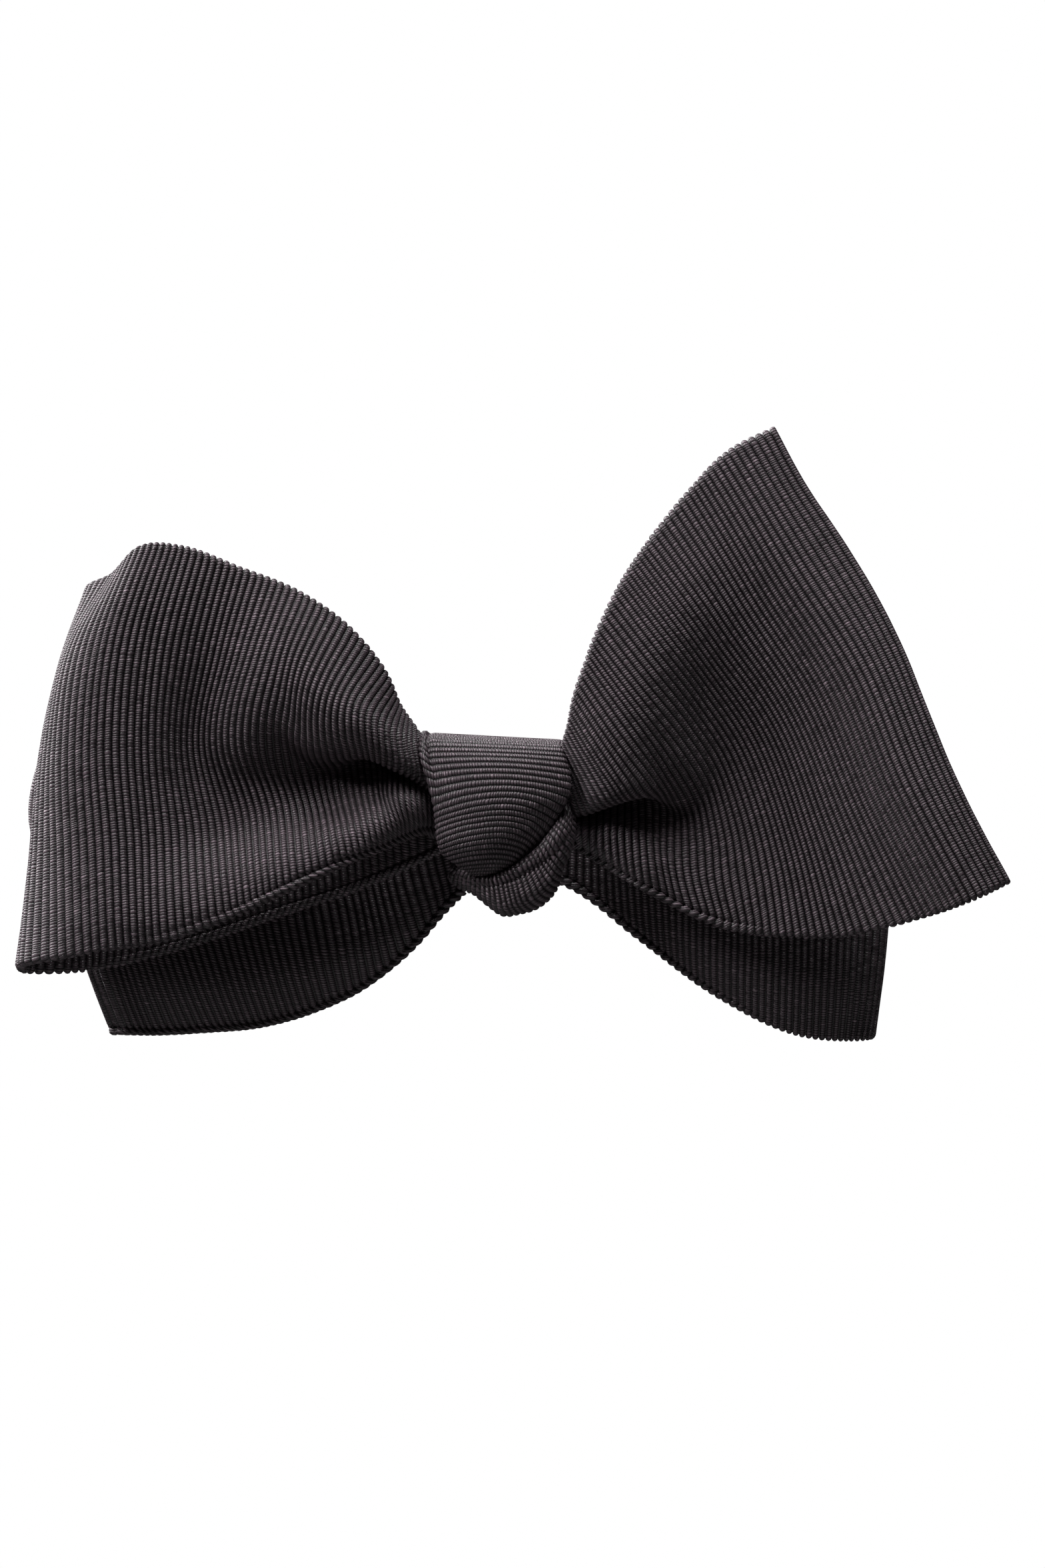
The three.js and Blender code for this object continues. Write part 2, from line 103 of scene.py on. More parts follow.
# Silk grosgrain, woven: the crown of each short length of warp thread catches a soft
# sheen, the grooves between ribs and threads are painted nearly black as painted shade,
# a few threads get a painted glint, and every thread takes the dye a little differently.
def silkGrosgrain(name, look):
    material = bpy.data.materials.new(name)
    material.use_nodes = True
    tree = material.node_tree
    tree.nodes.clear()
    kind = "ShaderNodeMath"

    uv = addNode(tree, "ShaderNodeUVMap", uv_map="weave").outputs[0]
    place = addNode(tree, "ShaderNodeSeparateXYZ", {0: uv})
    along, across = place.outputs[0], place.outputs[1]
    # ribPlace is 0 on the crown of a rib and 1 in the groove
    ribIndex = addNode(tree, kind, {0: along}, operation="FLOOR").outputs[0]
    ribPart = addNode(tree, kind, {0: along}, operation="FRACT").outputs[0]
    ribSide = addNode(tree, kind, {0: ribPart, 1: 2.0, 2: -1.0},
                      operation="MULTIPLY_ADD").outputs[0]
    ribPlace = addNode(tree, kind, {0: ribSide}, operation="ABSOLUTE").outputs[0]

    # warp threads start anywhere on each rib and crowd or spread along it
    ribStart = addNode(tree, "ShaderNodeTexWhiteNoise", {"W": ribIndex},
                       noise_dimensions="1D").outputs[0]
    ribFar = addNode(tree, kind, {0: ribIndex, 1: look["crowdRibs"]},
                     operation="MULTIPLY").outputs[0]
    drifting = addNode(tree, "ShaderNodeCombineXYZ",
                       {0: ribFar, 1: across, 2: weave["seed"]}).outputs[0]
    crowding = addNode(tree, "ShaderNodeTexNoise", {
        "Vector": drifting, "Scale": look["crowdScale"], "Detail": 1.0}).outputs[0]
    even = addNode(tree, kind, {0: across, 1: 1 / weave["threadPitch"], 2: ribStart},
                   operation="MULTIPLY_ADD").outputs[0]
    thread = addNode(tree, kind, {0: crowding, 1: look["crowding"], 2: even},
                     operation="MULTIPLY_ADD").outputs[0]
    threadIndex = addNode(tree, kind, {0: thread}, operation="FLOOR").outputs[0]
    threadPart = addNode(tree, kind, {0: thread}, operation="FRACT").outputs[0]
    threadSide = addNode(tree, kind, {0: threadPart, 1: 2.0, 2: -1.0},
                         operation="MULTIPLY_ADD").outputs[0]
    threadPlace = addNode(tree, kind, {0: threadSide}, operation="ABSOLUTE").outputs[0]

    # each thread's crown is a small pillow with rounded ends; the same shape makes the bump and
    # the painted shade in the grooves
    ribEdge = addNode(tree, kind, {0: ribPlace, 1: look["ribSquare"]},
                      operation="POWER").outputs[0]
    ribCrown = addNode(tree, kind, {0: 1.0, 1: ribEdge}, operation="SUBTRACT").outputs[0]
    threadEdge = addNode(tree, kind, {0: threadPlace, 1: look["threadSquare"]},
                         operation="POWER").outputs[0]
    pillow = addNode(tree, kind, {0: threadEdge, 1: -look["threadDepth"], 2: ribCrown},
                     operation="MULTIPLY_ADD").outputs[0]
    above = addNode(tree, kind, {0: pillow, 1: 0.0}, operation="MAXIMUM").outputs[0]
    bumpAndShadeProfile = addNode(tree, kind, {0: above, 1: look["crownRound"]},
                    operation="POWER").outputs[0]

    # one random value for each thread, a slow one along the cloth, and fine fibres
    cell = addNode(tree, "ShaderNodeCombineXYZ",
                   {0: ribIndex, 1: threadIndex, 2: weave["seed"]}).outputs[0]
    chance = addNode(tree, "ShaderNodeTexWhiteNoise", {"Vector": cell},
                     noise_dimensions="3D").outputs[0]
    slow = addNode(tree, "ShaderNodeTexNoise", {
        "Vector": uv, "Scale": look["slowScale"], "Detail": 3.0, "Roughness": 0.6},
        noise_dimensions="2D").outputs[0]
    strands = addNode(tree, "ShaderNodeVectorMath", {0: uv, 1: look["fibreScale"]},
                      operation="MULTIPLY").outputs[0]
    fibre = addNode(tree, "ShaderNodeTexNoise", {"Vector": strands, "Scale": 1.0, "Detail": 2.0},
                    noise_dimensions="2D").outputs[0]
    uneven, drift, hairy = [
        addNode(tree, kind, {0: value, 1: look[share], 2: 1 - look[share] / 2},
                operation="MULTIPLY_ADD").outputs[0]
        for value, share in ((chance, "threadVariation"), (slow, "slowVariation"),
                             (fibre, "fibreVariation"))]
    # painted highlight: a few threads are painted brighter, as glints
    paintedGlintMask = addNode(tree, kind, {0: chance, 1: look["paintedGlintRarity"]},
                   operation="POWER").outputs[0]
    dyed = addNode(tree, kind, {0: uneven, 1: drift}, operation="MULTIPLY").outputs[0]
    worn = addNode(tree, kind, {0: dyed, 1: hairy}, operation="MULTIPLY").outputs[0]
    dyeAndPaintedGlint = addNode(tree, kind, {0: paintedGlintMask, 1: look["paintedGlint"], 2: worn},
                     operation="MULTIPLY_ADD").outputs[0]
    # painted shade and painted glints: the colour runs from near black in the grooves between ribs
    # and threads up to the crown colour, and is brighter on the few glinting threads
    paintedShadeGlintAndDye = addNode(tree, kind, {0: bumpAndShadeProfile, 1: dyeAndPaintedGlint}, operation="MULTIPLY").outputs[0]
    colour = addNode(tree, "ShaderNodeMix", {
        0: paintedShadeGlintAndDye, 6: linearColour(look["paintedGrooveShade"]), 7: linearColour(look["crown"])},
        data_type="RGBA", clamp_factor=False).outputs[2]
    height = addNode(tree, kind, {0: bumpAndShadeProfile, 1: uneven}, operation="MULTIPLY").outputs[0]
    bump = addNode(tree, "ShaderNodeBump", {
        "Strength": 1.0, "Distance": look["threadHeight"] * mm, "Height": height}).outputs[0]

    surface = addNode(tree, "ShaderNodeBsdfPrincipled", {
        "Base Color": colour, "Roughness": look["roughness"], "IOR": look["ior"],
        "Normal": bump})
    surface.inputs["Specular IOR Level"].default_value = look["specular"]
    surface.inputs["Sheen Weight"].default_value = look["sheen"]
    surface.inputs["Sheen Roughness"].default_value = look["sheenRoughness"]
    surface.inputs["Sheen Tint"].default_value = linearColour(look["sheenTint"])
    addNode(tree, "ShaderNodeOutputMaterial", {"Surface": surface.outputs[0]})
    return material


silkLook = {
    # painted shade: the groove colour is near black, painted into the grooves between ribs and
    # threads; ribSquare, threadDepth and crownRound shape both the bump and this painted shade
    "paintedGrooveShade": "#010101",
    "crown": "#64575e",
    "ribSquare": 3.0,      # higher is a flatter crown and a narrower gap between ribs
    "threadSquare": 3.0,
    "threadDepth": 0.8,    # how deep the gap between two threads is, against that between ribs
    "crownRound": 1.2,
    "crowding": 3.0,       # in threads
    "crowdScale": 0.5,     # how fast that changes along a rib
    "crowdRibs": 5.3,      # how far apart two ribs lie in that pattern, so that each has its own
    "threadVariation": 0.8,
    "slowVariation": 0.3,
    "slowScale": 0.35,
    "fibreVariation": 0.5,
    "fibreScale": (2.0, 13.0, 1.0),   # across a rib, and finer along it
    # painted highlight: the few glinting threads are painted brighter
    "paintedGlint": 1.0,          # how much brighter the few threads are that shine
    "paintedGlintRarity": 60.0,     # higher lets fewer threads shine
    "threadHeight": 0.1,   # mm
    "roughness": 0.42,
    "ior": 1.54,
    "specular": 0.5,
    "sheen": 0.08,
    "sheenRoughness": 0.45,
    "sheenTint": "#d8cfd4",
}
silk = silkGrosgrain("black silk grosgrain", silkLook)
print("silk ready")


# Cubic from one value to the next by the slopes at both, where t runs from 0 to 1.
def cubicBetween(t, start, startSlope, end, endSlope):
    return ((2 * t ** 3 - 3 * t ** 2 + 1) * start + (t ** 3 - 2 * t ** 2 + t) * startSlope
            + (3 * t ** 2 - 2 * t ** 3) * end + (t ** 3 - t ** 2) * endSlope)


# Cubic curve through rows of values at uneven places.
def smoothCurve(places, values, at):
    places, values = np.asarray(places, float), np.asarray(values, float)
    at = np.clip(at, places[0], places[-1])
    step = np.diff(places)[:, None]
    rise = np.diff(values, axis=0) / step
    inner = (rise[:-1] * step[1:] + rise[1:] * step[:-1]) / (step[1:] + step[:-1])
    slope = np.vstack([rise[:1], inner, rise[-1:]])
    k = np.clip(np.searchsorted(places, at, side="right") - 1, 0, len(places) - 2)
    t = ((at - places[k]) / (places[k + 1] - places[k]))[:, None]
    return cubicBetween(t, values[k], step[k] * slope[k], values[k + 1], step[k] * slope[k + 1])


# Cubic curve through each row's points, read at places of its own, 0 to 1.
def acrossCurve(points, v):
    gaps = points.shape[1] - 1
    rise = np.diff(points, axis=1)
    slope = np.concatenate([rise[:, :1], (rise[:, :-1] + rise[:, 1:]) / 2, rise[:, -1:]], axis=1)
    k = np.clip((v * gaps).astype(int), 0, gaps - 1)
    t = (v * gaps - k)[..., None]
    row = np.arange(len(points))[:, None]
    return cubicBetween(t, points[row, k], slope[row, k], points[row, k + 1], slope[row, k + 1])


# Rows of points at even places across, whatever number of points each row is given with.
def evenRows(rows, size):
    evenPlaces = 33
    v = np.linspace(0, 1, evenPlaces)[None]
    points = [acrossCurve(np.array(row[1:], float).reshape(1, -1, size), v)[0] for row in rows]
    return np.array([row[0] for row in rows]), np.array(points)


# The middle of a panel: ribs by place across, (m,) and (m, n) to (m, n, 3), in mm.
def panelSurface(panel):
    lineRibs, lines = evenRows(panel["lines"], 2)
    depthRibs, depths = evenRows(panel["depths"], 1)

    def surface(at, v):
        flat = smoothCurve(lineRibs, lines.reshape(len(lines), -1), at).reshape(len(at), -1, 2)
        deep = smoothCurve(depthRibs, depths.reshape(len(depths), -1), at)
        points = np.stack([flat[:, :, 0], deep, flat[:, :, 1]], axis=2)
        place = acrossCurve(points, v)
        # pressed lines: place across, width, depth in mm, from which rib to which
        for line, wide, depth, first, last in panel.get("creases", []):
            strength = np.clip(np.minimum(at - first, last - at) / weave["creaseFade"], 0, 1)
            place[..., 1] += depth * strength[:, None] * np.exp(-((v - line) / wide) ** 2)
        return place

    return surface


hem = {
    "half": 0.6,        # half the thickness of the cloth, mm
    "thinnest": 0.05,   # the least that a groove leaves of that, mm
    "round": 0.7,       # how far in the edge is rounded, mm
    "bead": 0.2,        # how much the turned-in seam pads the edge, mm
    "beadAt": 0.65,
    "beadWide": 0.4,
    "groove": 0.34,     # depth of the line beside the seam, mm
    "grooveAt": 1.25,
    "grooveWide": 0.17,
    "grooveFrom": 0.3,  # nearer the edge than this there is no groove, mm
    "lean": 1.3,        # how many ribs the weave slips on the rolled edge
    "steps": [0.0, 0.06, 0.25, 0.5, 0.8, 1.05, 1.25, 1.45, 1.9],   # points beside an edge, mm
    "samples": 129,     # points that measure the way across
}


# How much a seam shows, by rib, as a row for each end of a stretch: rib, strength.
def seamStrength(rows, at):
    rows = np.array(rows or [[0, 0]], float)
    return np.interp(at, rows[:, 0], rows[:, 1])


# The points of each row as places 0 to 1 and in mm from the bottom edge, close together
# beside both edges, and the row's whole width.
def spotsAcross(surface, at, columns):
    m = len(at)
    v = np.tile(np.linspace(0, 1, hem["samples"]), (m, 1))
    lengths = np.linalg.norm(np.diff(surface(at, v), axis=1), axis=2)
    arc = np.concatenate([np.zeros((m, 1)), np.cumsum(lengths, axis=1)], axis=1)
    width = arc[:, -1]
    steps = np.array(hem["steps"])
    inner = np.linspace(0, 1, columns + 2)[1:-1]
    spots = []
    for i in range(m):
        edge = steps * min(1, width[i] / (4 * steps[-1]))
        middle = edge[-1] + inner * (width[i] - 2 * edge[-1])
        spots.append(np.concatenate([edge, middle, width[i] - edge[::-1]]))
    spots = np.array(spots)
    places = np.array([np.interp(spots[i], arc[i], v[i]) for i in range(m)])
    return places, spots, width


# Which way the middle surface faces at each of its points.
def facing(middle, ring):
    if ring:
        along = np.roll(middle, -1, axis=0) - np.roll(middle, 1, axis=0)
    else:
        along = np.gradient(middle, axis=0)
    normal = np.cross(along, np.gradient(middle, axis=1))
    return normal / np.linalg.norm(normal, axis=2, keepdims=True)


# Half the thickness at each point, and how many ribs the weave slips there.
def hemmed(at, spots, width, shape, ring):
    pitch = shape.get("ribPitch", weave["ribPitch"])
    lean, leanWide = shape.get("lean", (0.0, 1.0))
    inside = np.minimum(spots, width[:, None] - spots)
    edges = [("bottom", spots), ("top", width[:, None] - spots)]
    if not ring:
        # a smooth minimum of the ways to the side and to the end rounds the corners
        least = 1e-6    # mm, so that nothing is divided by nought
        fromEnd = np.minimum(at - at[0], at[-1] - at)[:, None] * pitch
        inside = (np.maximum(inside, least) ** -4 + np.maximum(fromEnd, least) ** -4) ** -0.25
        edges.append(("end", np.repeat((at[-1] - at)[:, None] * pitch, spots.shape[1], axis=1)))
    half = hem["half"] * np.sqrt(1 - (1 - np.clip(inside / hem["round"], 0, 1)) ** 2)
    slip = lean * np.clip(1 - spots / leanWide, 0, 1)
    for edge, away in edges:
        strength = seamStrength(shape.get("seams", {}).get(edge), at)[:, None]
        padded = hem["bead"] * np.exp(-((away - hem["beadAt"]) / hem["beadWide"]) ** 2)
        pressed = hem["groove"] * np.exp(-((away - hem["grooveAt"]) / hem["grooveWide"]) ** 2)
        half = half + strength * (padded - pressed * (inside > hem["grooveFrom"]))
        if edge != "end":
            slip = slip + strength * hem["lean"] * np.clip(1 - away / hem["grooveAt"], 0, 1)
    return np.maximum(half, hem["thinnest"]), slip


# Rib numbers at face corners: the faces that close a ring count on past its last rib.
def countPastJoin(ribs, at):
    closing = ribs.max(axis=1) - ribs.min(axis=1) > at[-1] / 2
    start = closing[:, None] & (ribs < at[-1] / 2)
    return np.where(start, ribs + at[-1] + at[1] - at[0], ribs)


# A closed wall of cloth round a middle surface, with rounded, seamed edges. The shape gives
# the points across, and may give a rib pitch, seams, and how many ribs the weave leans on
# its rolled bottom edge, with the width of that roll in mm.
def clothWall(name, surface, at, shape, ring=False):
    pitch = shape.get("ribPitch", weave["ribPitch"])
    places, spots, width = spotsAcross(surface, at, shape["columns"])
    middle = surface(at, places)
    half, slip = hemmed(at, spots, width, shape, ring)
    m, n = spots.shape
    rim = np.zeros((m, n), bool)
    rim[:, [0, -1]] = True
    if not ring:
        rim[[0, -1], :] = True
    half[rim] = 0
    # both faces share the points on the rim
    front = np.arange(m * n).reshape(m, n)
    back = front.copy()
    back[~rim] = m * n + np.arange((~rim).sum())
    offset = facing(middle, ring) * half[..., None]
    points = np.concatenate([(middle + offset).reshape(-1, 3), (middle - offset)[~rim]])
    rows = np.arange(m if ring else m - 1)
    after = (rows + 1) % m

    def quads(ids, turned):
        a, b = ids[rows][:, :-1], ids[after][:, :-1]
        c, d = ids[after][:, 1:], ids[rows][:, 1:]
        order = (a, d, c, b) if turned else (a, b, c, d)
        return np.stack(order, axis=2).reshape(-1, 4)

    faces = np.concatenate([quads(front, False), quads(back, True)])
    # a negative volume means that the faces point inwards
    a, b, c, d = np.moveaxis(points[faces], 1, 0)
    if np.einsum("ij,ij->", a, np.cross(b, c) + np.cross(c, d)) < 0:
        faces = faces[:, ::-1]
    mesh = bpy.data.meshes.new(name)
    mesh.from_pydata((points * mm).tolist(), [], faces.tolist())
    mesh.polygons.foreach_set("use_smooth", [True] * len(faces))

    ribs = np.tile(np.asarray(at)[:, None], (1, n)) + slip
    lateral = spots - width[:, None] / 2
    perPoint = {}
    for key, values in (("rib", ribs), ("lateral", lateral)):
        perPoint[key] = np.concatenate([values.ravel(), values[~rim]])
        attribute = mesh.attributes.new(key, "FLOAT", "POINT")
        attribute.data.foreach_set("value", perPoint[key].astype(np.float32))
    u, v = perPoint["rib"][faces], perPoint["lateral"][faces]
    if ring:
        u = countPastJoin(u, at)
    layer = mesh.uv_layers.new(name="weave")
    layer.data.foreach_set("uv", np.stack([u, v], axis=2).ravel().astype(np.float32))

    piece = bpy.data.objects.new(name, mesh)
    bpy.context.scene.collection.objects.link(piece)
    piece["flatWidth"] = float(width.max() * mm)
    piece["flatLength"] = float((at[-1] - at[0]) * pitch * mm)
    piece["flatArea"] = float((np.gradient(at) * pitch * width).sum() * mm * mm)
    return piece


# Ribs of the weave: each point moves along its normal by where it lies on its rib.
def ribTree():
    tree = bpy.data.node_groups.new("ribs of the weave", "GeometryNodeTree")
    tree.is_modifier = True
    tree.interface.new_socket("Geometry", in_out="INPUT", socket_type="NodeSocketGeometry")
    for name in ("Rib Height", "Rib Roundness", "Slub", "Seed"):
        tree.interface.new_socket(name, in_out="INPUT", socket_type="NodeSocketFloat")
    tree.interface.new_socket("Material", in_out="INPUT", socket_type="NodeSocketMaterial")
    tree.interface.new_socket("Geometry", in_out="OUTPUT", socket_type="NodeSocketGeometry")
    kind = "ShaderNodeMath"
    given = addNode(tree, "NodeGroupInput")
    rib, lateral = [
        addNode(tree, "GeometryNodeInputNamedAttribute", {"Name": name},
                data_type="FLOAT").outputs[0]
        for name in ("rib", "lateral")]
    phase = addNode(tree, kind, {0: rib, 1: math.pi}, operation="MULTIPLY").outputs[0]
    sine = addNode(tree, kind, {0: phase}, operation="SINE").outputs[0]
    swell = addNode(tree, kind, {0: sine}, operation="ABSOLUTE").outputs[0]
    crown = addNode(tree, kind, {0: swell, 1: given.outputs["Rib Roundness"]},
                    operation="POWER").outputs[0]
    # each rib swells and thins along its length
    along = addNode(tree, kind, {0: lateral, 1: weave["slubAlong"]},
                    operation="MULTIPLY").outputs[0]
    spot = addNode(tree, "ShaderNodeCombineXYZ",
                   {0: rib, 1: along, 2: given.outputs["Seed"]}).outputs[0]
    noise = addNode(tree, "ShaderNodeTexNoise",
                    {"Vector": spot, "Scale": weave["slubScale"], "Detail": 2.0}).outputs[0]
    centred = addNode(tree, kind, {0: noise, 1: 0.5}, operation="SUBTRACT").outputs[0]
    uneven = addNode(tree, kind, {0: centred, 1: given.outputs["Slub"], 2: -weave["grooveSink"]},
                     operation="MULTIPLY_ADD").outputs[0]
    lift = addNode(tree, kind, {0: crown, 1: uneven}, operation="ADD").outputs[0]
    size = addNode(tree, kind, {0: lift, 1: given.outputs["Rib Height"]},
                   operation="MULTIPLY").outputs[0]
    normal = addNode(tree, "GeometryNodeInputNormal").outputs[0]
    offset = addNode(tree, "ShaderNodeVectorMath", {0: normal, "Scale": size},
                     operation="SCALE").outputs[0]
    moved = addNode(tree, "GeometryNodeSetPosition",
                    {"Geometry": given.outputs["Geometry"], "Offset": offset})
    real = addNode(tree, "GeometryNodeRealizeInstances", {"Geometry": moved.outputs[0]})
    dressed = addNode(tree, "GeometryNodeSetMaterial", {
        "Geometry": real.outputs[0], "Material": given.outputs["Material"]})
    addNode(tree, "NodeGroupOutput", {"Geometry": dressed.outputs[0]})
    return tree


ribsOfWeave = ribTree()


# Runs a Geometry Nodes tree on a piece and keeps the result as its plain mesh.
def applyTree(piece, tree, values):
    modifier = piece.modifiers.new(tree.name, "NODES")
    modifier.node_group = tree
    for socket in tree.interface.items_tree:
        if socket.in_out == "INPUT" and socket.name in values:
            modifier[socket.identifier] = values[socket.name]
    bpy.context.view_layer.update()
    graph = bpy.context.evaluated_depsgraph_get()
    mesh = bpy.data.meshes.new_from_object(
        piece.evaluated_get(graph), preserve_all_data_layers=True, depsgraph=graph)
    piece.modifiers.remove(modifier)
    piece.data = mesh
    mesh.name = piece.name


# Presses the ribs into a piece. share: how high they stand, against those of the bows.
def weaveRibs(piece, share=1.0):
    applyTree(piece, ribsOfWeave, {
        "Rib Height": weave["ribHeight"] * share * mm,
        "Rib Roundness": weave["ribRoundness"],
        "Slub": weave["slub"],
        "Seed": weave["seed"],
        "Material": silk,
    })


# Places of the samples along a strip, whose stretches are first rib, last rib and samples
# for each rib. The groove between two ribs is always one of the places.
def ribSteps(stretches):
    places = [np.linspace(first, last, round((last - first) * perRib) + 1)
              for first, last, perRib in stretches]
    return np.concatenate(places[:1] + [more[1:] for more in places[1:]])


def makePanel(name, shape):
    piece = clothWall(name, panelSurface(shape), ribSteps(shape["stretches"]), shape)
    weaveRibs(piece, shape.get("ribShare", 1.0))
    return piece


# Tells the frame what a finished piece of cloth stands for.
def seat(piece, node):
    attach(piece, "root")
    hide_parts(node)
    print(piece.name, "ready,", len(piece.data.polygons) * 2, "triangles")


# Front bow, loop on the left: the front layer out to its fold near rib 56, the back layer home.
# Each row is one rib, with its number first. lines: x and z of places spread evenly across
# it, from the bottom edge to the top edge. depths: y of such places. Half way across lies
# the hollow of the pleat.
frontLoopShape = {
    "lines": [
        [-16, -0.4, -5.4, -0.4, -2.7, -0.4, 0, -0.4, 2.7, -0.4, 5.4],
        [-8, -7.6, -4, -7.7, -2.6, -7.9, -0.8, -8.1, 1.8, -8.3, 2.4, -8.6, 5, -8.7, 7.4],
        [-4.4, -9.4, -3.2, -9.6, -1.6, -9.8, 0.6, -10, 3.7, -10.2, 4, -10.9, 7.2, -11, 10.4],
        [-0.4, -11.6, -3.8, -12, -1.6, -12.4, 1.4, -12.8, 5.3, -13, 5.4, -13.6, 9.2, -12.7, 12.9],
        [4.2, -14.2, -5, -14.4, -2, -15, 1.8, -15.8, 6.6, -16.3, 6.9, -17, 11.6, -14.2, 16.7],
        [11.5, -19.3, -7.2, -19.8, -3.4, -20.8, 0.6, -22, 5.2, -22.6, 8, -22.4, 14.4, -18.6, 22.4],
        [20.2, -26.8, -10.7, -27.8, -1.2, -30.3, 8.4, -28.3, 18, -25.3, 27.1],
        [28.7, -33.8, -13.9, -35.1, -2.8, -37.3, 8.2, -35.2, 19.2, -32.4, 30],
        [37.3, -42.3, -16.7, -43, -4.4, -44, 8, -42.7, 20.4, -39.3, 32.5],
        [44.2, -48.6, -17.6, -49.2, -4.8, -50, 7.8, -48.6, 20.6, -44.4, 32.5],
        [50.3, -55, -18.8, -55, -6.2, -55, 7, -53.2, 19, -47.8, 29.2],
        [54.5, -59.4, -19.7, -58.2, -7, -57, 6.4, -54.4, 18.2, -50.9, 28],
        [58.5, -59.9, -20.7, -57.8, -7.4, -56.6, 6, -54, 17.2, -50.6, 27.4],
        [63, -55, -20.8, -54.4, -7.2, -54, 5.6, -52, 17, -47.6, 26.4],
        [70, -48.6, -20, -48.6, -7.2, -48.2, 5, -46.4, 16.4, -42.4, 26.4],
        [80, -38.6, -17.4, -39.2, -6.6, -38.8, 4.2, -37.4, 14.4, -34.6, 24],
        [92, -27.4, -13.6, -28.2, -5.4, -28, 3.4, -26.8, 12, -25, 20],
        [102, -17.8, -10.4, -18.4, -4.2, -18.4, 2.4, -17.8, 8.8, -16.8, 14.6],
        [110, -10, -7, -10.4, -3.4, -10.6, 0.6, -10.8, 4.2, -11, 7.4],
        [113, -7, -5.6, -7.2, -2.9, -7.4, 0, -7.6, 2.8, -7.8, 5.4],
        [120, -0.4, -5.4, -0.4, -2.7, -0.4, 0, -0.4, 2.7, -0.4, 5.4],
    ],
    "depths": [
        [-16, -15.3, -15.3, -15.3, -15.3, -15.3],
        [-8, -15.2, -15.4, -15.4, -14.6, -15.2, -15.6, -15],
        [-4.4, -15.6, -16.6, -16.6, -14.2, -17, -17.2, -14.6],
        [-0.4, -16.4, -18.2, -18, -14, -19, -19.4, -15],
        [4.2, -18.2, -19.6, -17, -14, -20, -21.4, -15.8],
        [11.5, -21, -20, -15.8, -14.6, -20.4, -22.4, -17.6],
        [20.2, -22.2, -20.4, -17.2, -16.4, -19.4, -21.5, -21.8, -20.6, -18],
        [28.7, -22, -20.4, -17.9, -17.6, -18.4, -19.3, -20, -20, -19.2],
        [37.3, -22.6, -21.8, -20.7, -20.6, -21.1, -21.5, -21.7, -21.5, -20.4],
        [44.2, -22.2, -22.2, -22, -22, -22.1, -22.3, -22.2, -21.6, -20],
        [50.3, -19.2, -19.2, -19.2, -19.2, -19.2, -19.2, -19, -18.6, -17.6],
        [54.5, -14.8, -14.6, -14.4, -14.4, -14.4, -14.6, -14.6, -14.6, -14.4],
        [58.5, -9.4, -9.2, -9, -9.2, -9.6],
        [63, -8, -7.2, -6.6, -6.6, -7],
        [70, -8, -7.2, -6.8, -6.8, -7.2],
        [80, -8.6, -8, -7.8, -8, -8.6],
        [92, -9.6, -9.2, -9.2, -9.6, -10.4],
        [102, -10.8, -10.8, -11, -11.4, -12],
        [110, -12.3, -12.5, -12.5, -12.5, -12.5],
        [113, -12.5, -12.6, -12.6, -12.6, -12.6],
        [120, -12.8, -12.7, -12.7, -12.7, -12.7],
    ],
    "creases": [[0, 0.045, 1.0, 2, 50]],
    "seams": {
        "bottom": [[-8, 1], [14, 1], [30, 0.35], [44, 0], [66, 0], [78, 0.6], [113, 1]],
    },
    "stretches": [[-8, 62, 6], [62, 113, 4]],
    "columns": 44,   # points across, besides those beside the edges
}

frontLoop = makePanel("frontLoop", frontLoopShape)
seat(frontLoop, "front_loop")

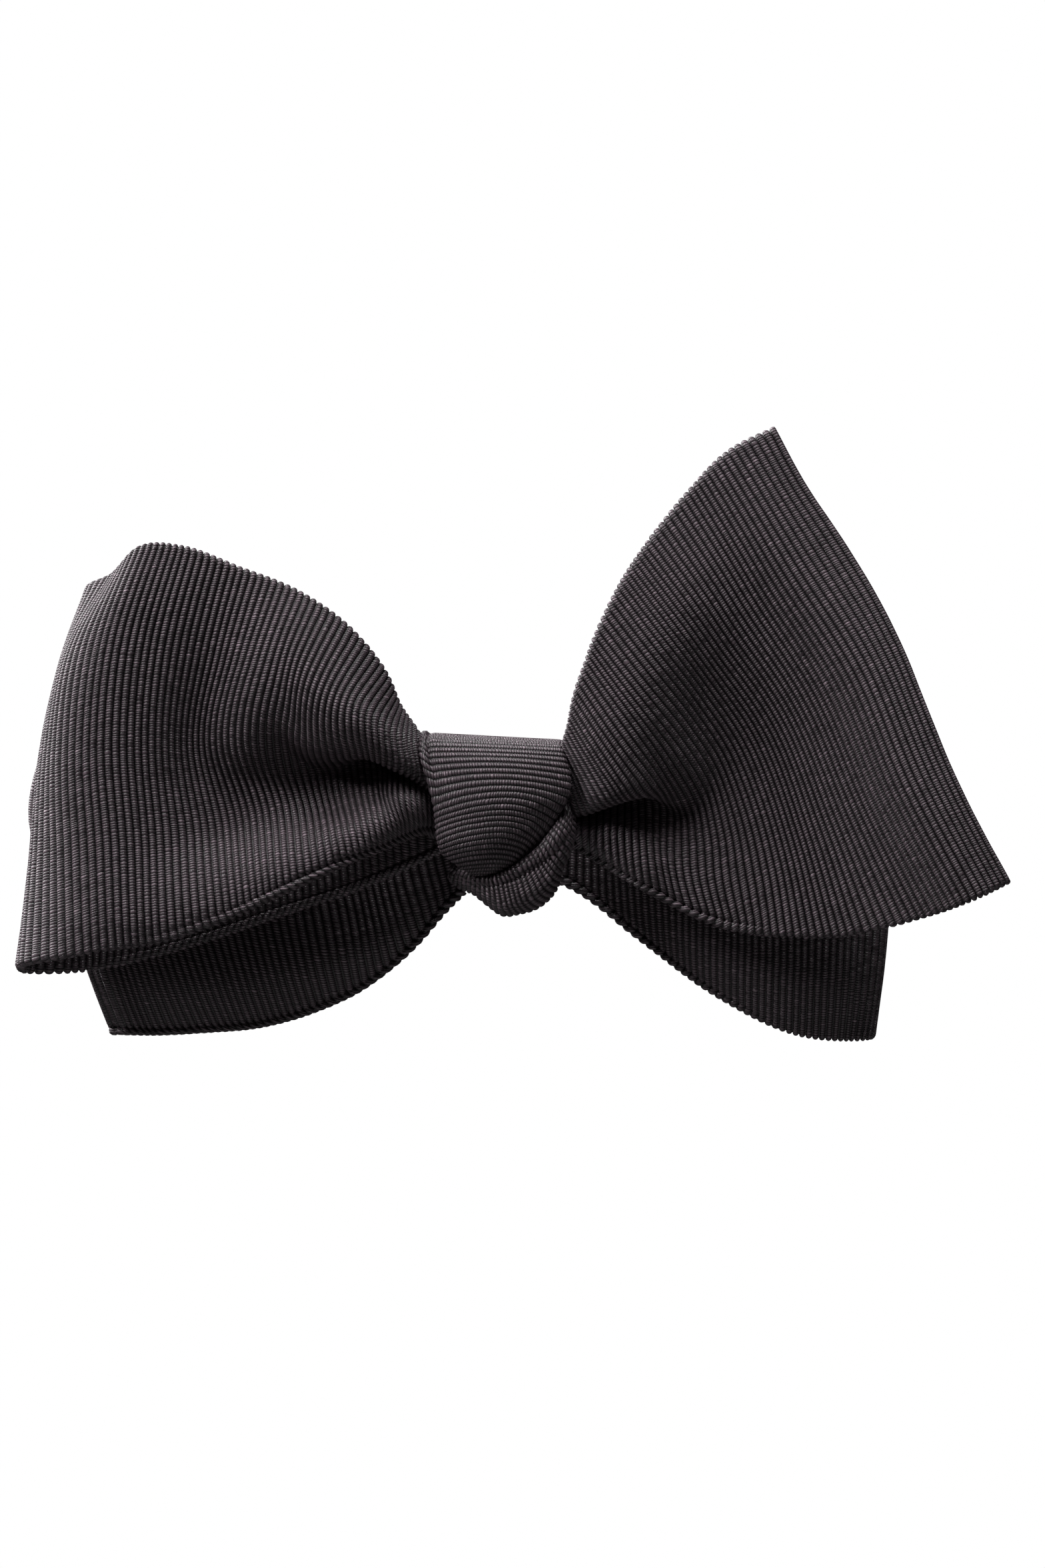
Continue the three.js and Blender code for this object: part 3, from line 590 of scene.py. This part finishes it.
# Front bow, flat blade end on the right.
frontBladeShape = {
    "lines": [
        [-9, 8, -3.6, 8, -3, 7.9, -2.2, 7.9, -1.1, 7.6, -0.4, 7.2, 2.6, 6.8, 5.6],
        [-6, 10.9, -5.6, 10.5, -4.2, 10.3, -2.6, 10.3, -0.2, 10.1, -0.2, 9, 3.4, 7.6, 7.2],
        [-3, 13.8, -7.5, 13.1, -5.2, 12.9, -2.8, 13, 0.6, 12.2, 0.6, 10.2, 4.4, 8.1, 8.8],
        [0, 16.7, -9.4, 15.7, -6.2, 15.5, -3, 15.6, 1.4, 14.2, 1.4, 11.4, 6, 8.6, 10.8],
        [3, 19.2, -11, 18.4, -7.2, 18.1, -3.2, 18, 1.8, 16.1, 2, 12.8, 7, 9, 13.2],
        [5.3, 21.5, -12.3, 20.3, -7.2, 20.1, -3.2, 20.1, 1.2, 17.9, 2.8, 14, 8.2, 9.5, 15.2],
        [8.5, 25, -14, 23.4, -8.6, 23.1, -4, 22.6, 0.4, 19.6, 4.8, 15.6, 10.6, 10.5, 18],
        [12, 28.4, -15.2, 26.9, -9.4, 26.4, -3.9, 25.2, 1.4, 21.9, 6.6, 17, 13, 11.4, 20.6],
        [18.6, 34.6, -16.1, 33.4, -8.6, 31.6, -1.2, 28.7, 6.4, 24.6, 12.4, 19.6, 18.8, 14, 26.3],
        [27.8, 43.5, -16, 39.4, -2.9, 34.3, 10.1, 26.1, 21.4, 17.9, 32.6],
        [36.8, 52.3, -13.8, 45.6, 0, 39.5, 13.9, 31.2, 26.6, 23.3, 39.4],
        [45.6, 59, -11.3, 51.5, 2.9, 45.3, 17.6, 36.9, 31.2, 28.8, 44.8],
        [52, 63.5, -9.2, 59.6, -2.1, 56.2, 5, 53.2, 12.4, 50.3, 19.8,
         46.8, 26.9, 42.6, 33.8, 38.1, 40.6, 34.4, 47.6],
    ],
    "depths": [
        [-9, -13.6, -13.8, -13.8, -13, -14.2, -14.8, -14.4],
        [-6, -13.8, -15, -15.4, -12.8, -15.6, -16.6, -15.8],
        [-3, -14.4, -15.8, -15.4, -12.6, -17.6, -17.8, -17.2],
        [0, -14.6, -15.8, -15.2, -12.5, -18.4, -18.8, -18],
        [3, -14.6, -15.4, -14.6, -12.6, -18.2, -19.6, -18.6],
        [5.3, -14, -14.6, -13.9, -12.8, -17.8, -19.8, -19],
        [8.5, -13.4, -14, -13.4, -12.8, -17.2, -20, -19.3],
        [12, -12.8, -13.3, -13.1, -13, -16.6, -19.8, -19.2],
        [18.6, -12.6, -12.9, -12.9, -13.2, -15.8, -19.4, -19],
        [27.8, -13.2, -13.5, -13.4, -13.6, -15.2, -17.8, -17],
        [36.8, -17, -16.8, -16.4, -16.2, -16.4, -17, -16],
        [45.6, -21.4, -21.4, -20.8, -19.8, -18.8, -18, -16.8],
        [52, -19.4, -19.4, -19, -18.2, -17.4, -16.8, -16.2],
    ],
    "seams": {
        "bottom": [[-9, 1], [8, 1], [18, 0]],
    },
    "stretches": [[-9, 52, 6]],
    "columns": 52,
}

frontBlade = makePanel("frontBlade", frontBladeShape)
seat(frontBlade, "front_blade")

# Rear bow, loop on the right, folded near rib 45.
rearLoopShape = {
    "lines": [
        [-9, 0.3, -7.4, 0.3, -3.8, 0.3, -0.2, 0.3, 2.8, 0.3, 5.6],
        [0, 9.4, -10.5, 9.6, -5.6, 9.4, -1, 9.6, 3, 9.8, 6.4],
        [8, 17.4, -16.6, 16.8, -8.8, 16.6, -1.4, 16.4, 5.6, 16, 11.8],
        [19.5, 27.2, -23.7, 26.8, -12.6, 26.8, -2, 26.6, 8.2, 25.4, 17.6],
        [32, 37.8, -28.8, 37.9, -15.6, 38.2, -2.6, 37.4, 10.2, 35.6, 22],
        [40, 44.2, -29.5, 45, -15.8, 45.6, -2.4, 44.2, 10.6, 41.8, 23],
        [45, 47, -29.3, 48.6, -15.6, 48.8, -2.2, 46.8, 10.6, 44.2, 22.6],
        [50, 44, -28.2, 45, -15, 45.6, -2.2, 44.2, 10.2, 41.6, 21.8],
        [58, 37, -25.6, 37.6, -14.2, 37.8, -2.2, 37, 9.6, 35.2, 20.4],
        [70.5, 26.6, -20.6, 26.6, -11.4, 26.8, -2, 26.4, 7.4, 25.2, 16.2],
        [82, 17, -14.2, 16.6, -8, 16.6, -1.4, 16.4, 5, 16, 11],
        [90, 9.4, -9, 9.4, -4.8, 9.4, -0.8, 9.6, 2.8, 9.8, 6.2],
        [99, 0.3, -7.2, 0.3, -3.8, 0.3, -0.2, 0.3, 2.7, 0.3, 5.4],
    ],
    "depths": [
        [-9, -8.4, -8.4, -8.4, -8.4, -8.4],
        [0, -8.4, -8.4, -8.4, -8.4, -8.4],
        [8, -7.2, -8.6, -8.8, -8.6, -8.2],
        [19.5, -4.8, -8, -8.6, -8.6, -8.6, -8.4, -8, -7.6, -7.2],
        [32, -3, -6.8, -7.6, -7.8, -7.6, -7.2, -6.8, -6.4, -5.8],
        [40, -1.6, -4.8, -5.6, -5.8, -5.6, -5.2, -4.8, -4.4, -3.8],
        [45, -0.9, -1.3, -1.5, -1.2, -0.6],
        [50, 2.2, 2.4, 2.4, 2.6, 2.8],
        [58, 2.6, 2.6, 2.6, 2.8, 3.2],
        [70.5, 0.2, -0.2, -0.4, 0, 0.6],
        [82, -3.4, -3.8, -3.9, -3.7, -3.3],
        [90, -5.7, -5.7, -5.7, -5.7, -5.7],
        [99, -5.7, -5.7, -5.7, -5.7, -5.7],
    ],
    "seams": {
        "bottom": [[-2, 1], [16, 0.7], [30, 0]],
    },
    "stretches": [[-2, 50, 6], [50, 93, 4]],
    "columns": 34,
}

rearLoop = makePanel("rearLoop", rearLoopShape)
seat(rearLoop, "rear_loop")

# Rear bow, flat blade end on the left, its upper corner bent back round the neck.
rearBladeShape = {
    "lines": [
        [-9, -0.3, -7.4, -0.3, -3.8, -0.3, 0, -0.3, 3.4, -0.3, 6.6],
        [0, -6.5, -12.9, -8.2, -6.8, -9, -1.4, -9.2, 3.4, -9.2, 7],
        [5, -10.7, -17.6, -13, -10.6, -14.2, -3.6, -14.2, 3.6, -13.6, 9.6],
        [11.5, -17, -22.6, -18.6, -13.6, -20.6, -4.2, -20.6, 5, -19.6, 13.4],
        [18.5, -23.4, -25.7, -26, -15.4, -28, -4.4, -28.2, 6.6, -26.4, 17],
        [26, -30, -27.6, -33.4, -16.4, -36.2, -4.2, -36.2, 8.6, -33.4, 20.4],
        [34, -37, -28.3, -41.2, -16.8, -44.6, -3.6, -44.2, 10.6, -40.2, 23.4],
        [41.5, -44, -28.7, -48.2, -16.2, -52.6, -2.2, -50.6, 12.4, -45.6, 25.2],
        [48, -49.2, -28.6, -54.2, -14.4, -59.9, -1, -55.6, 13.8, -49, 26.4],
    ],
    "depths": [
        [-9, -7, -7, -7, -7, -7],
        [0, -7, -7.2, -7.2, -7, -6.8],
        [5, -6, -7.6, -7.8, -7.4, -7, -6.6, -6.4, -6.2, -6],
        [11.5, -4.6, -8, -8.2, -7.4, -6.6, -6, -5.4, -5, -4.6],
        [18.5, -3.8, -7.8, -8.2, -7.4, -6.2, -5.2, -4.4, -3.6, -3],
        [26, -3.4, -7.4, -7.8, -6.8, -5.4, -4.2, -3, -1.8, -0.8],
        [34, -2.8, -6.8, -7.2, -6, -4.2, -2.6, -1.2, 0.4, 1.8],
        [41.5, -2, -5.8, -6.2, -4.8, -2.8, -0.8, 1, 2.8, 4.6],
        [46, -1.6, -5.3, -5.7, -4.2, -2, 0.4, 2.4, 4.3, 6.1],
        [48, 0, -3.4, -3.8, -2.4, -0.2, 2.2, 4.2, 6.1, 7.8],
    ],
    "seams": {
        "bottom": [[-3, 1], [48, 1]],
        "end": [[-3, 0], [40, 0], [45, 1], [48, 1]],
    },
    "stretches": [[-3, 48, 6]],
    "columns": 38,
}

rearBlade = makePanel("rearBlade", rearBladeShape)
seat(rearBlade, "rear_blade")

# The wrap over the middle: up from behind, over the top, down the front, and tucked up
# behind the front bow. x and z of its left and right edges, y in its middle, how far its
# edges lie behind that, and how far its ribs sag towards its left and right edges.
wrapShape = {
    "ribPitch": 0.72,
    # turn, left x, left z, right x, right z, depth, round, sag left, sag right
    "rows": [
        [0, -7.6, 1.5, 7.6, 1.5, -3.0, -0.1, 0, 0],
        [1, -8.2, 5.2, 7.8, 5.0, -3.0, -0.1, 0, 0],
        [1.8, -9.2, 7.9, 8.0, 7.2, -4.2, -0.2, 0, 0],
        [2.6, -9.9, 8.8, 8.1, 7.9, -8.6, -0.2, 0, 0],
        [3.1, -10.2, 8.8, 8.1, 7.8, -13.2, 0, 0, 0],
        [3.6, -10.2, 8.2, 8.1, 7.3, -16.9, 0.4, 0, 0],
        [4.2, -10.0, 6.6, 8.3, 6.0, -18.9, 1.0, 0.3, 0.3],
        [5, -9.2, 4.0, 8.8, 3.8, -20.3, 1.8, 1.0, 1.2],
        [5.8, -8.3, 0.6, 8.5, 1.4, -20.7, 2.2, 1.5, 2.8],
        [6.4, -8.0, -1.6, 7.4, -0.6, -20.4, 2.1, 1.4, 3.2],
        [7, -7.8, -3.8, 6.2, -2.4, -20.0, 1.8, 1.0, 2.8],
        [7.6, -7.2, -5.5, 4.5, -4.4, -19.1, 1.9, 0.7, 2.0],
        [8.2, -5.4, -6.8, 2.4, -6.4, -17.8, 1.2, 0.4, 0.9],
        [8.7, -3.8, -7.8, 0.4, -7.9, -16.0, 0.7, 0.2, 0.2],
        [9.2, -3.0, -8.3, -0.4, -8.4, -14.4, 0.2, 0, 0],
        [9.8, -3.8, -7.6, 1.0, -7.6, -12.4, 0, 0, 0],
        [10.4, -4.0, -5.6, 1.4, -5.6, -10.8, 0, 0, 0],
        [11.2, -4.0, -2.6, 1.6, -2.6, -10.8, 0, 0, 0],
    ],
    "seams": {
        "bottom": [[0, 0], [14, 0], [17, 1.2], [30, 1.2], [37, 0]],
    },
    "perRib": 6,
    "columns": 28,
    "ribShare": 0.5,
}


# Turns of the wrap, and how far the strip has come at each of them, in mm.
def wrapLength(shape):
    samples = 400
    rows = np.array(shape["rows"])
    turns = np.linspace(rows[0, 0], rows[-1, 0], samples)
    x0, z0, x1, z1, y = smoothCurve(rows[:, 0], rows[:, 1:6], turns).T
    line = np.stack([(x0 + x1) / 2, y, (z0 + z1) / 2], axis=1)
    steps = np.linalg.norm(np.diff(line, axis=0), axis=1)
    return turns, np.concatenate([[0], np.cumsum(steps)])


def wrapSurface(shape):
    rows = np.array(shape["rows"])
    turns, length = wrapLength(shape)

    def surface(at, v):
        side = 2 * v - 1
        travel = np.repeat(np.asarray(at)[:, None] * shape["ribPitch"], v.shape[1], axis=1)
        turn = np.interp(travel, length, turns)
        sag = smoothCurve(rows[:, 0], rows[:, 7:], turn.ravel()).reshape(*turn.shape, 2)
        lower = np.where(side < 0, sag[..., 0], sag[..., 1]) * side ** 2
        turn = np.interp(travel + lower, length, turns)
        x0, z0, x1, z1, y, back = np.moveaxis(
            smoothCurve(rows[:, 0], rows[:, 1:7], turn.ravel()).reshape(*turn.shape, 6), 2, 0)
        return np.stack([x0 + (x1 - x0) * v, y + back * side ** 2, z0 + (z1 - z0) * v], axis=2)

    return surface


wrapRibs = int(wrapLength(wrapShape)[1][-1] / wrapShape["ribPitch"])
knotWrap = clothWall("knotWrap", wrapSurface(wrapShape),
                     ribSteps([[0, wrapRibs, wrapShape["perRib"]]]), wrapShape)
weaveRibs(knotWrap, wrapShape["ribShare"])
seat(knotWrap, "knot_wrap")


# The crossing of the two ends under the knot, one row for each rib, from the right side
# of the knot down to the left: its rolled inner edge, crest, seam, outer crest, free edge.
crossingShape = {
    "lines": [
        [0, 7.2, 3.6, 7.7, 2.7, 8, 1.6, 8.2, 1.6, 8.3, 1.6],
        [3, 7.3, 1.4, 8, 0.4, 8.5, -0.8, 8.8, -1, 8.9, -1.2],
        [6, 6.9, -0.6, 7.8, -1.6, 8.4, -2.7, 8.8, -3.2, 8.9, -3.6],
        [9, 6, -2.2, 7, -3.1, 7.7, -4.2, 8.2, -5, 8.3, -5.6],
        [11.5, 5.1, -3.7, 5.9, -4.6, 6.5, -5.7, 7.2, -7, 7.5, -7.5],
        [14, 4.1, -4.8, 4.8, -5.7, 5.3, -6.7, 6.4, -8.6, 7.2, -9.1],
        [17, 2.8, -5.9, 3.4, -6.8, 3.8, -7.7, 4.9, -10.3, 6.2, -11],
        [19.5, 1.6, -7, 2, -7.8, 2.4, -8.5, 3.2, -11.3, 4.6, -12.3],
        [22, 0.5, -7.8, 0.8, -8.4, 1.1, -9.1, 1.7, -11.8, 2.6, -12.9],
        [24.5, -0.5, -8.4, -0.4, -8.9, -0.3, -9.5, 0.2, -11.9, 0.6, -13.2],
        [27, -1.6, -8.6, -1.6, -9, -1.6, -9.6, -1.4, -10.9, -1, -12.2],
        [29.5, -2.9, -8.2, -3, -8.7, -3, -9.3, -3, -9.9, -3, -10.6],
        [32.5, -4.4, -7.4, -4.5, -8, -4.6, -8.6, -4.7, -9.2, -4.9, -9.9],
        [35.5, -5.8, -6.6, -5.9, -7.1, -6, -7.6, -6.2, -8.1, -6.4, -8.6],
    ],
    "depths": [
        [0, -13.6, -13.8, -13.8, -13.6, -13.4],
        [3, -15.4, -15.9, -16, -15.6, -14.8],
        [6, -16.8, -18.2, -18.2, -17.2, -15.6],
        [9, -17, -18.8, -18.7, -17.8, -15.6],
        [11.5, -17, -18.8, -18.6, -18, -15.4],
        [14, -16.7, -18.5, -18.3, -18, -15.2],
        [17, -16.2, -18.1, -17.9, -17.7, -15],
        [19.5, -15.6, -17.6, -17.5, -17.3, -14.6],
        [22, -15, -17.1, -17, -16.9, -14.4],
        [24.5, -14.4, -16.6, -16.5, -16.4, -14],
        [27, -13.9, -16, -15.9, -15.6, -13.6],
        [29.5, -13.3, -15.1, -15, -14.6, -12.8],
        [32.5, -12.4, -13.8, -13.7, -13.2, -11.8],
        [35.5, -11.4, -12.4, -12.3, -12, -11],
    ],
    # given past both ends, so that it doesn't fade
    "creases": [[0.5, 0.035, 0.75, -8, 44]],
    "stretches": [[0, 35.5, 6]],
    "columns": 30,
    "lean": (3.0, 2.0),
    "ribShare": 0.6,
}

knotCrossing = makePanel("knotCrossing", crossingShape)
seat(knotCrossing, "knot_crossing")


# The band round the neck: a plain closed loop, its front right behind the knot.
neckbandShape = {
    "halfWidth": 56.9,
    "halfDepth": 69.9,
    "middle": 69.0,
    "height": 16.0,
    "ribs": 440,
    "perRib": 3,
    "columns": 4,
}


def bandSurface(shape):
    def surface(at, v):
        turn = (np.asarray(at) * 2 * math.pi / shape["ribs"])[:, None] * np.ones_like(v)
        x = shape["halfWidth"] * np.sin(turn)
        y = shape["middle"] - shape["halfDepth"] * np.cos(turn)
        return np.stack([x, y, (v - 0.5) * shape["height"]], axis=2)

    return surface


# the last place of a ring is its first again
bandRibs = ribSteps([[0, neckbandShape["ribs"], neckbandShape["perRib"]]])[:-1]
neckBand = clothWall("neckBand", bandSurface(neckbandShape), bandRibs, neckbandShape, ring=True)
weaveRibs(neckBand)
seat(neckBand, "neckband")


# Plain pale studio: a wide floor far below, white all round, soft lamps above,
# and a weak one for the light that the floor throws back.
studioLook = {
    "worldForCloth": 0.012,    # how much the white surroundings light the cloth
    "floorHalf": 3.0,
    "floorHeight": -1.4,
    "floorGrey": 0.2,
    "floorRoughness": 0.9,
    # place, side of the square and watts
    "lamps": {
        "key": ((-0.95, -0.52, 0.85), 0.5, 15.0),
        "rim": ((-0.75, 0.5, 0.6), 0.8, 17.0),
        "top": ((0.05, -0.25, 1.1), 0.5, 9.0),
        "bounce": ((0.1, -0.45, -1.0), 1.2, 1.3),
    },
}


def makeFloor(look):
    paper = bpy.data.materials.new("pale paper floor")
    paper.use_nodes = True
    shader = paper.node_tree.nodes["Principled BSDF"]
    shader.inputs["Base Color"].default_value = (*[look["floorGrey"]] * 3, 1)
    shader.inputs["Roughness"].default_value = look["floorRoughness"]
    shader.inputs["Emission Color"].default_value = (1, 1, 1, 1)
    # it looks white but throws little light back on the cloth
    direct = addNode(paper.node_tree, "ShaderNodeLightPath").outputs["Is Camera Ray"]
    paper.node_tree.links.new(direct, shader.inputs["Emission Strength"])
    half = look["floorHalf"]
    corners = [(x * half, y * half, look["floorHeight"])
               for x, y in ((-1, -1), (1, -1), (1, 1), (-1, 1))]
    mesh = bpy.data.meshes.new("floor")
    mesh.from_pydata(corners, [], [(0, 1, 2, 3)])
    mesh.materials.append(paper)
    floor = bpy.data.objects.new("floor", mesh)
    bpy.context.scene.collection.objects.link(floor)


def studio(look):
    scene = bpy.context.scene
    scene.view_settings.view_transform = "Standard"
    world = bpy.data.worlds.new("white studio")
    scene.world = world
    world.use_nodes = True
    tree = world.node_tree
    tree.nodes.clear()
    seen = addNode(tree, "ShaderNodeLightPath").outputs["Is Camera Ray"]
    strength = addNode(tree, "ShaderNodeMapRange",
                       {0: seen, 3: look["worldForCloth"], 4: 1.0}).outputs[0]
    sky = addNode(tree, "ShaderNodeBackground",
                  {"Color": (1, 1, 1, 1), "Strength": strength}).outputs[0]
    addNode(tree, "ShaderNodeOutputWorld", {"Surface": sky})
    makeFloor(look)
    for name, (spot, size, power) in look["lamps"].items():
        lamp = bpy.data.lights.new(name, "AREA")
        lamp.shape = "SQUARE"
        lamp.size = size
        lamp.energy = power
        holder = bpy.data.objects.new(name, lamp)
        holder.location = spot
        holder.rotation_euler = (-Vector(spot)).to_track_quat("-Z", "Y").to_euler()
        scene.collection.objects.link(holder)


studio(studioLook)
print("studio ready")
